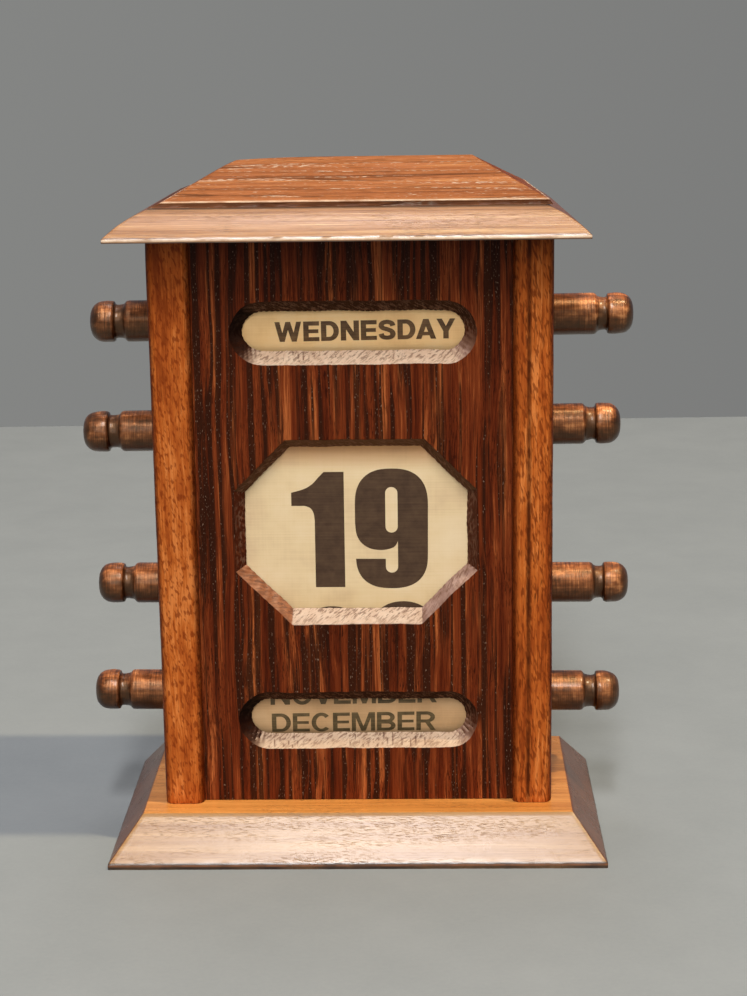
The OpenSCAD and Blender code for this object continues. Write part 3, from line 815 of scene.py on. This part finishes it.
def make_pilaster(name, material, seed, lean):
    low, high = (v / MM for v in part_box(name))
    round_r = 2.2
    half = (high.x - low.x) / 2
    depth = high.y - low.y
    middle = (low.x + high.x) / 2
    foot_round = 0.4
    outline = [(half, 0.0)]
    outline += [(half - round_r + round_r * math.cos(math.radians(a)),
                 -(depth - round_r) - round_r * math.sin(math.radians(a))) for a in range(0, 91, 9)]
    flat = [(half - round_r - 2 * (half - round_r) * k / 6, -depth) for k in range(1, 6)]
    mirrored = [(-x, y) for x, y in reversed(outline)]
    outline = outline + flat + mirrored
    levels = [(foot_round, 0.0), (0.12, 0.12), (0.0, foot_round)]
    count = 120
    tall = high.z - low.z
    levels += [(0.0, foot_round + (tall - foot_round) * k / count) for k in range(1, count + 1)]
    rings = []
    for tuck, rise in levels:
        ring = []
        for x, y in outline:
            splay = lean * rise / tall * (1 if x * lean > 0 else 0)
            p = Vector((middle + x * (1 - tuck / half), high.y + y * (1 - tuck / depth),
                        low.z + rise))
            if y < 0:
                shift = drift(p, 14, 0.10, seed) + drift(p, 2.6, 0.05, seed + 4)
                p.x += shift.x
                p.y += shift.y
            p = keep_inside(p, low, high)
            p.x += splay
            ring.append(p)
        rings.append(ring)
    return piece(name + "_worn", loft(rings), material, "case", (name,))


# ---- turned spindles ----

def spindle_frame(joint_name):
    joint = JOINTS[joint_name]
    axis = Vector(joint["axis"]).normalized()
    across = Vector((0, 1, 0))
    up = axis.cross(across)
    place = Matrix((axis, across, up)).transposed().to_4x4()
    place.translation = Vector(joint["pos_m"]) / MM
    return place


def knob_profile(seed):
    """(distance from the tip, radius) of one knob, each a little different.

    A domed head with a crisp inner edge, then a short cove and the shaft."""
    head = 6.9 + 0.5 * ripple((seed, 0, 0), 1.0, 0.3)
    cove = 3.2 + 0.6 * ripple((0, seed, 0), 1.0, 0.7)
    deep = 1.10 + 0.2 * ripple((0, 0, seed), 1.0, 0.9)
    full = KNOB_R
    head_part = [(0.0, 0.0), (0.05, 1.3), (0.22, 2.5), (0.52, 3.4), (1.0, 4.15), (1.65, 4.75),
                 (2.4, 5.15), (3.3, full - 0.10), (4.5, full), (head - 1.1, full),
                 (head - 0.35, full - 0.10), (head - 0.06, full - 0.34)]
    cove_part = [(head + 0.08, full - deep * 0.72), (head + 0.45, full - deep * 0.97),
                 (head + cove * 0.45, full - deep), (head + cove - 0.6, full - deep * 0.80),
                 (head + cove - 0.15, full - deep * 0.40), (head + cove + 0.20, full - 0.12),
                 (head + cove + 0.8, full)]
    return head_part + cove_part


def resample(line, step):
    """The same line with points no further apart than step, on smooth curves."""
    dense = []
    for spans in zip(line[:1] + line, line, line[1:], line[2:] + line[-1:]):
        (x1, z1), (x2, z2) = spans[1:3]
        n = max(1, math.ceil(math.hypot(x2 - x1, z2 - z1) / step))
        for t in (j / n for j in range(n)):
            dense.append(tuple(
                0.5 * (2 * b + (c - a) * t + (2 * a - 5 * b + 4 * c - d) * t * t
                       + (3 * b - a - 3 * c + d) * t ** 3) for a, b, c, d in zip(*spans)))
    return dense + line[-1:]


def make_spindle(node, joint_name, body, seed):
    place = spindle_frame(joint_name)
    low, high = (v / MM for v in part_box(node))
    axis = (place.translation.y, place.translation.z)
    wood_of_it = turned_wood(node + "_wood", axis, 30.0 + seed * 3.1)
    left_end = resample(knob_profile(seed), 0.3)
    right_end = resample(knob_profile(seed + 3.7), 0.3)
    line = [(low.x + 0.02 + d, r) for d, r in left_end]
    line += [(high.x - 0.02 - d, r) for d, r in reversed(right_end)]
    around, wear_depth, chatter_depth = 72, 0.20, 0.05
    rings = []
    for x, r in line:
        ring = []
        shown = abs(x) > SHOWN_FROM
        for k in range(around):
            a = 2 * math.pi * k / around
            side = (math.cos(a), math.sin(a))
            wear = wear_depth * abs(ripple((x, 5 * side[0], 5 * side[1]), 3.4, seed))
            ridges = ripple((x * 5.0, 1.2 * side[0], 1.2 * side[1]), 1.0, seed)
            chatter = chatter_depth * abs(ridges)
            radius = max(0.02, r - (wear + chatter if shown else 0.0))
            ring.append(place @ Vector((x, radius * side[0], radius * side[1])))
        rings.append(ring)
    return piece(node + "_turned", loft(rings), wood_of_it, body, (node,), 60)


# ---- lettering ----

class Pen:
    """Draws plain capitals, one unit tall. stem is the upright width, bar the level one."""

    def __init__(self, stem, bar):
        self.stem, self.bar = stem, bar

    def stroke(self, points, closed=False):
        """Quads along a line drawn with a pen that is stem wide and bar high."""
        count = len(points)
        sides = []
        for k, (x, z) in enumerate(points):
            before = points[k - 1] if closed or k > 0 else points[k]
            after = points[(k + 1) % count] if closed or k < count - 1 else points[k]
            dx, dz = after[0] - before[0], after[1] - before[1]
            length = math.hypot(dx, dz) or 1.0
            ax, az = -dz / length * self.stem / 2, dx / length * self.bar / 2
            sides.append(((x + ax, z + az), (x - ax, z - az)))
        pairs = list(zip(sides, sides[1:])) + ([(sides[-1], sides[0])] if closed else [])
        return [(a[0], b[0], b[1], a[1]) for a, b in pairs]

    def leg(self, x0, z0, x1, z1, share=1.0):
        """A straight stroke with level ends."""
        h = self.stem * share / 2
        return [((x0 - h, z0), (x0 + h, z0), (x1 + h, z1), (x1 - h, z1))]

    def beam(self, x0, x1, z, share=1.0):
        h = self.bar * share / 2
        return [((x0, z - h), (x1, z - h), (x1, z + h), (x0, z + h))]

    def bow(self, x0, flat, reach, z0, z1):
        """The round side of a D or B, from its top arm to its foot arm."""
        rx, rz = reach - self.stem / 2 - flat, (z1 - z0 - self.bar) / 2
        h = self.bar / 2
        bend = arc(flat, (z0 + z1) / 2, rx, rz, 90, -90, 18)
        return self.stroke([(x0, z1 - h)] + bend + [(x0, z0 + h)])

    def hoop(self, w, start=0, end=360):
        """The ring of an O, or part of it for a C."""
        line = arc(w / 2, 0.5, (w - self.stem) / 2, (1.03 - self.bar) / 2, start, end, 40)
        closed = end - start == 360
        return self.stroke(line[:-1] if closed else line, closed)

    def glyph(self, letter):
        """(advance width, quads) of a capital in cap heights."""
        h, b = self.stem / 2, self.bar / 2
        leg, beam, bow, hoop, stroke = self.leg, self.beam, self.bow, self.hoop, self.stroke
        stem = leg(h, 0, h, 1)
        hook = arc(0.36, 0.34, 0.36 - h, 0.34 - b, 0, -185)
        bowl = arc(0.46, 0.38, 0.46 - h, 0.39 - b, 180, 360)
        spine = resample([(0.72, 0.70), (0.66, 0.83), (0.43, 0.90), (0.20, 0.84), (0.14, 0.71),
                          (0.22, 0.60), (0.43, 0.53), (0.64, 0.44), (0.72, 0.29),
                          (0.64, 0.15), (0.42, 0.10), (0.20, 0.16), (0.13, 0.31)], 0.04)
        edge = h * 0.92
        return {
            "A": (1.02, leg(h, 0, 0.51, 1) + leg(1.02 - h, 0, 0.51, 1)
                  + beam(0.24, 0.78, 0.27, 0.85)),
            "B": (0.88, stem + bow(h, 0.48, 0.84, 0.45, 1) + bow(h, 0.50, 0.88, 0, 0.56)),
            "C": (0.92, hoop(0.94, 42, 318)),
            "D": (0.90, stem + bow(h, 0.42, 0.90, 0, 1)),
            "E": (0.80, stem + beam(h, 0.80, 1 - b) + beam(h, 0.76, 0.51, 0.9)
                  + beam(h, 0.80, b)),
            "F": (0.76, stem + beam(h, 0.76, 1 - b) + beam(h, 0.70, 0.48)),
            "G": (0.96, hoop(0.96, 42, 330) + beam(0.52, 0.96 - h * 0.2, 0.42, 0.9)
                  + leg(0.96 - h, 0.14, 0.96 - h, 0.42, 0.85)),
            "H": (0.92, stem + leg(0.92 - h, 0, 0.92 - h, 1) + beam(h, 0.8, 0.5)),
            "I": (self.stem, stem),
            "J": (0.72, leg(0.72 - h, 0.34, 0.72 - h, 1) + stroke(hook)),
            "L": (0.74, stem + beam(h, 0.74, b)),
            "M": (1.10, leg(edge, 0, edge, 1, 0.92) + leg(1.10 - edge, 0, 1.10 - edge, 1, 0.92)
                  + leg(0.55, 0, 0.19, 1, 0.9) + leg(0.55, 0, 0.91, 1, 0.9)),
            "N": (0.92, stem + leg(0.92 - h, 0, 0.92 - h, 1) + leg(0.92 - h, 0, h, 1, 1.1)),
            "O": (0.98, hoop(0.98)),
            "P": (0.84, stem + bow(h, 0.46, 0.84, 0.36, 1)),
            "R": (0.94, stem + bow(h, 0.48, 0.88, 0.42, 1) + leg(0.80, 0, 0.52, 0.46, 1.1)),
            "S": (0.86, stroke(spine)),
            "T": (0.82, leg(0.41, 0, 0.41, 1) + beam(0, 0.82, 1 - b)),
            "U": (0.92, stroke([(h, 1)] + bowl + [(0.92 - h, 1)])),
            "V": (0.96, leg(0.48, 0, h, 1) + leg(0.48, 0, 0.96 - h, 1)),
            "W": (1.36, leg(0.38, 0, h, 1, 0.92) + leg(0.38, 0, 0.68, 1, 0.88)
                  + leg(0.98, 0, 0.68, 1, 0.88) + leg(0.98, 0, 1.36 - h, 1, 0.92)),
            "Y": (0.94, leg(0.47, 0, 0.47, 0.44) + leg(0.47, 0.38, h, 1)
                  + leg(0.47, 0.38, 0.94 - h, 1)),
        }[letter]

    def word(self, text):
        """(width, quads) of a word in cap heights. Slanted letters stand closer."""
        quads, x, before = [], 0.0, ""
        for letter in text:
            if before:
                x += 0.02 if set(before + letter) & set("AVY") else 0.09
            width, shape = self.glyph(letter)
            quads += [tuple((px + x, pz) for px, pz in quad) for quad in shape]
            x += width
            before = letter
        return x, quads


def ink_mesh(bm, shapes, place, floor=None):
    """Adds flat shapes, cut into low strips, and maps each point (x, s) with place.

    A shape is a list of closed outlines: the first is its rim, the others its holes. What lies
    below floor is cut off."""
    strip = 0.8
    for k, outlines in enumerate(shapes):
        part = bmesh.new()
        edges = []
        for outline in outlines:
            ring = [part.verts.new((x, 0, z)) for x, z in outline]
            edges += [part.edges.new((a, b)) for a, b in zip(ring, ring[1:] + ring[:1])]
        bmesh.ops.triangle_fill(part, edges=edges, use_beauty=False, use_dissolve=False)
        low = min(v.co.z for v in part.verts)
        high = max(v.co.z for v in part.verts)
        level = math.ceil(low / strip) * strip
        while level < high:
            bmesh.ops.bisect_plane(part, geom=part.verts[:] + part.edges[:] + part.faces[:],
                                   plane_co=(0, 0, level), plane_no=(0, 0, 1))
            level += strip
        if floor is not None:
            bmesh.ops.bisect_plane(part, geom=part.verts[:] + part.edges[:] + part.faces[:],
                                   plane_co=(0, 0, floor), plane_no=(0, 0, -1), clear_outer=True)
        table = {v: bm.verts.new(place(v.co.x, v.co.z, 0.0004 * (k % 7))) for v in part.verts}
        for f in part.faces:
            bm.faces.new([table[v] for v in f.verts])
        part.free()


def make_drum_print(name, joint_name, body, pen, material, words, first_width, middle, foot,
                    pitch, cap, lean):
    """Words round a drum, cap tall, one pitch apart, from the foot of the first."""
    frame_at = spindle_frame(joint_name)

    def wrap(x, s, lift):
        a = s / BAND_R
        r = BAND_R + INK_LIFT + lift
        return frame_at @ Vector((x, -r * math.cos(a), r * math.sin(a)))

    bm = bmesh.new()
    sx, slope = first_width / pen.word(words[0])[0], math.tan(math.radians(lean))
    for k, text in enumerate(words):
        width, quads = pen.word(text)
        left, base = middle - width * sx / 2, foot + k * pitch
        shapes = [[[(left + x * sx, base + z * cap + slope * x * sx) for x, z in quad]]
                  for quad in quads]
        ink_mesh(bm, shapes, wrap)
    return piece(name, bm, material, body)


DAYS = ["WEDNESDAY", "THURSDAY", "FRIDAY", "SATURDAY", "SUNDAY", "MONDAY", "TUESDAY"]
MONTHS = ["DECEMBER", "NOVEMBER", "OCTOBER", "SEPTEMBER", "AUGUST", "JULY", "JUNE", "MAY",
          "APRIL", "MARCH", "FEBRUARY", "JANUARY"]


def make_word_prints():
    make_drum_print("day_print", "day_turn", "day_roller", Pen(0.27, 0.21), day_ink, DAYS,
                    46.2, 3.2, -3.45, -2 * math.pi * BAND_R / len(DAYS), 5.15, 0.3)
    make_drum_print("month_print", "month_turn", "month_roller", Pen(0.215, 0.165), month_ink,
                    MONTHS, 43.7, -1.05, -6.6, 8.0, 5.6, 1.1)


def numeral(sign):
    """Outlines of a tall heavy numeral in millimetres: its rim, then its holes."""
    if sign == "1":
        flag = resample([(0.0, 25.4), (3.4, 26.4), (5.5, 27.7), (7.1, 29.4), (8.5, 30.86)], 0.5)
        armpit = resample([(6.0, 18.0), (5.7, 20.0), (4.9, 21.3), (3.4, 21.9)], 0.4)
        return [[(6.0, 0), (13.7, 0), (13.7, 30.86)] + flag[::-1] + [(0.0, 21.9)] + armpit[::-1]]
    top = arc(9.5, 22.3, 9.5, 9.75, 0, 180, 32, 0.80 if sign == "9" else 0.95)
    foot = arc(9.5, 9.3, 9.5, 9.3, 180, 360, 32, 0.80)
    hole_top = arc(9.5, 25.55, 1.6, 1.6, 0, 180, 10)
    if sign == "9":
        bowl = resample([(0.0, 17.5), (0.35, 14.6), (1.6, 12.3), (3.8, 10.8), (6.4, 10.33),
                         (8.6, 10.55), (10.3, 11.3), (11.1, 12.7)], 0.4)
        notch = arc(9.5, 5.8, 1.6, 1.6, 360, 180, 10)
        lower = arc(9.5, 9.0, 9.4, 9.0, 183.6, 360, 30, 0.80)
        return [lower + top + bowl + notch + [(7.9, 7.95)],
                hole_top + arc(9.5, 16.57, 1.6, 1.6, 180, 360, 10)]
    if sign == "0":
        return [top + foot, hole_top + arc(9.5, 6.5, 1.6, 1.6, 180, 360, 10)]
    if sign == "2":
        belly = resample([(18.7, 19.5), (17.2, 14.8), (14.2, 10.6), (10.8, 6.9), (9.9, 5.2)], 0.6)
        back = resample([(0.2, 4.0), (3.5, 9.0), (8.0, 14.2), (10.6, 18.6), (11.1, 22.5)], 0.6)
        return [top + [(0.0, 20.4), (7.9, 20.4)] + hole_top[::-1] + back[::-1]
                + [(0.2, 0.0), (18.6, 0.0), (18.6, 5.2)] + belly[::-1]]
    raise ValueError(sign)


def make_date_print():
    bm = bmesh.new()
    strip_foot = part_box("date_platen")[0].z / MM + 0.6

    def flat(x, s, lift):
        return Vector((x, PAPER_FRONT - INK_LIFT - lift, s))

    for sign, left, foot in (("1", -16.5, 69.2), ("9", 0.0, 68.8), ("2", -15.9, 31.95),
                             ("0", 2.8, 33.2)):
        shape = [[(left + x, foot + z) for x, z in outline] for outline in numeral(sign)]
        ink_mesh(bm, [shape], flat, strip_foot)
    return piece("date_print", bm, date_ink, "case")


# ---- build ----

dress_cad_nodes()
make_plinth()
make_lid()
make_roof()
make_front_board()
make_pilaster("left_pilaster", left_pilaster_wood, 3.0, -0.7)
make_pilaster("right_pilaster", right_pilaster_wood, 8.0, 0.1)
for seed, row in enumerate(("day", "date_top", "date_foot", "month"), 1):
    make_spindle(row + "_spindle", row + "_turn", row + "_roller", seed)
make_word_prints()
make_date_print()


# ---- stage, light and camera ----

def make_floor():
    bm = bmesh.new()
    corners = [(-1400, -900), (1400, -900), (1400, 612), (-1400, 528)]
    bm.faces.new([bm.verts.new(mm(x, y, 0)) for x, y in corners])
    mesh = bpy.data.meshes.new("floor")
    bm.to_mesh(mesh)
    bm.free()
    s = new_shader("floor_grey")
    tone = s.blotch(40, 5.0, 0.7) + (s.blotch(1.3, 2.0) - 0.5) * 0.35
    colour = s.ramp(tone, [(0.3, (0.268, 0.272, 0.268)), (0.7, (0.297, 0.299, 0.294))])
    mesh.materials.append(s.finish(colour, 0.75))
    floor = add_object("floor", mesh)


def make_world():
    """Grey wall for the camera, dim neutral fill for everything else."""
    world = bpy.data.worlds.new("studio")
    bpy.context.scene.world = world
    s = Shader(world, "OutputWorld")
    across = s.parts(s.coords["Generated"])[0]
    wall = s.mix(across.step(-0.2, 0.2), (0.232, 0.235, 0.229), (0.198, 0.200, 0.196))
    seen = s.node("LightPath").outputs["Is Camera Ray"]
    back = s.node("Background", {"Color": s.mix(seen, (0.185, 0.200, 0.228), wall)})
    s.tree.links.new(back.outputs[0], s.out.inputs[0])


def lamp_from(name, direction, distance, size, power, colour):
    """A softbox that looks at the calendar's middle from a direction."""
    aim = mm(0, 0, 85)
    data = bpy.data.lights.new(name, "AREA")
    data.shape = "RECTANGLE"
    data.size, data.size_y = size
    data.energy = power
    data.color = colour
    lamp = add_object(name, data)
    lamp.location = aim + Vector(direction).normalized() * distance
    lamp.rotation_euler = Vector(direction).to_track_quat("Z", "Y").to_euler()


FOCAL_PIXELS, PICTURE_PIXELS = 2251, 996      # focal length and height of the photograph


def make_camera():
    """The photograph's viewpoint: a long lens, a little left of and above the calendar."""
    place = mm(18.5, -586.05, 223.1)
    yaw, pitch, roll = (math.radians(a) for a in (-1.37, 12.86, -0.74))
    ahead = Vector((math.sin(yaw) * math.cos(pitch), math.cos(yaw) * math.cos(pitch),
                    -math.sin(pitch)))
    right = Vector((math.cos(yaw), -math.sin(yaw), 0))
    up = right.cross(ahead)
    right_rolled = right * math.cos(roll) + up * math.sin(roll)
    up_rolled = up * math.cos(roll) - right * math.sin(roll)
    data = bpy.data.cameras.new("camera")
    data.sensor_width = 36.0
    data.lens = FOCAL_PIXELS / PICTURE_PIXELS * data.sensor_width
    data.clip_start = 0.01
    camera = add_object("camera", data)
    turn = Matrix((right_rolled, up_rolled, -ahead)).transposed().to_4x4()
    turn.translation = place
    camera.matrix_world = turn
    bpy.context.scene.camera = camera


make_floor()
make_world()
lamp_from("key", (-0.02, -0.62, 0.78), 3.2, (0.27, 1.5), 84, (0.94, 0.97, 1.0))
lamp_from("side", (0.338, -0.146, 0.93), 3.0, (0.08, 0.08), 43, (1.0, 0.89, 0.60))
lamp_from("overhead", (-0.03, 0.25, 0.95), 1.2, (0.26, 0.50), 2.1, (0.97, 0.97, 1.0))
lamp_from("front", (-0.15, -0.93, 0.32), 1.8, (0.9, 0.7), 5.0, (1.0, 0.97, 0.93))
make_camera()
bpy.context.scene.view_settings.view_transform = "Standard"
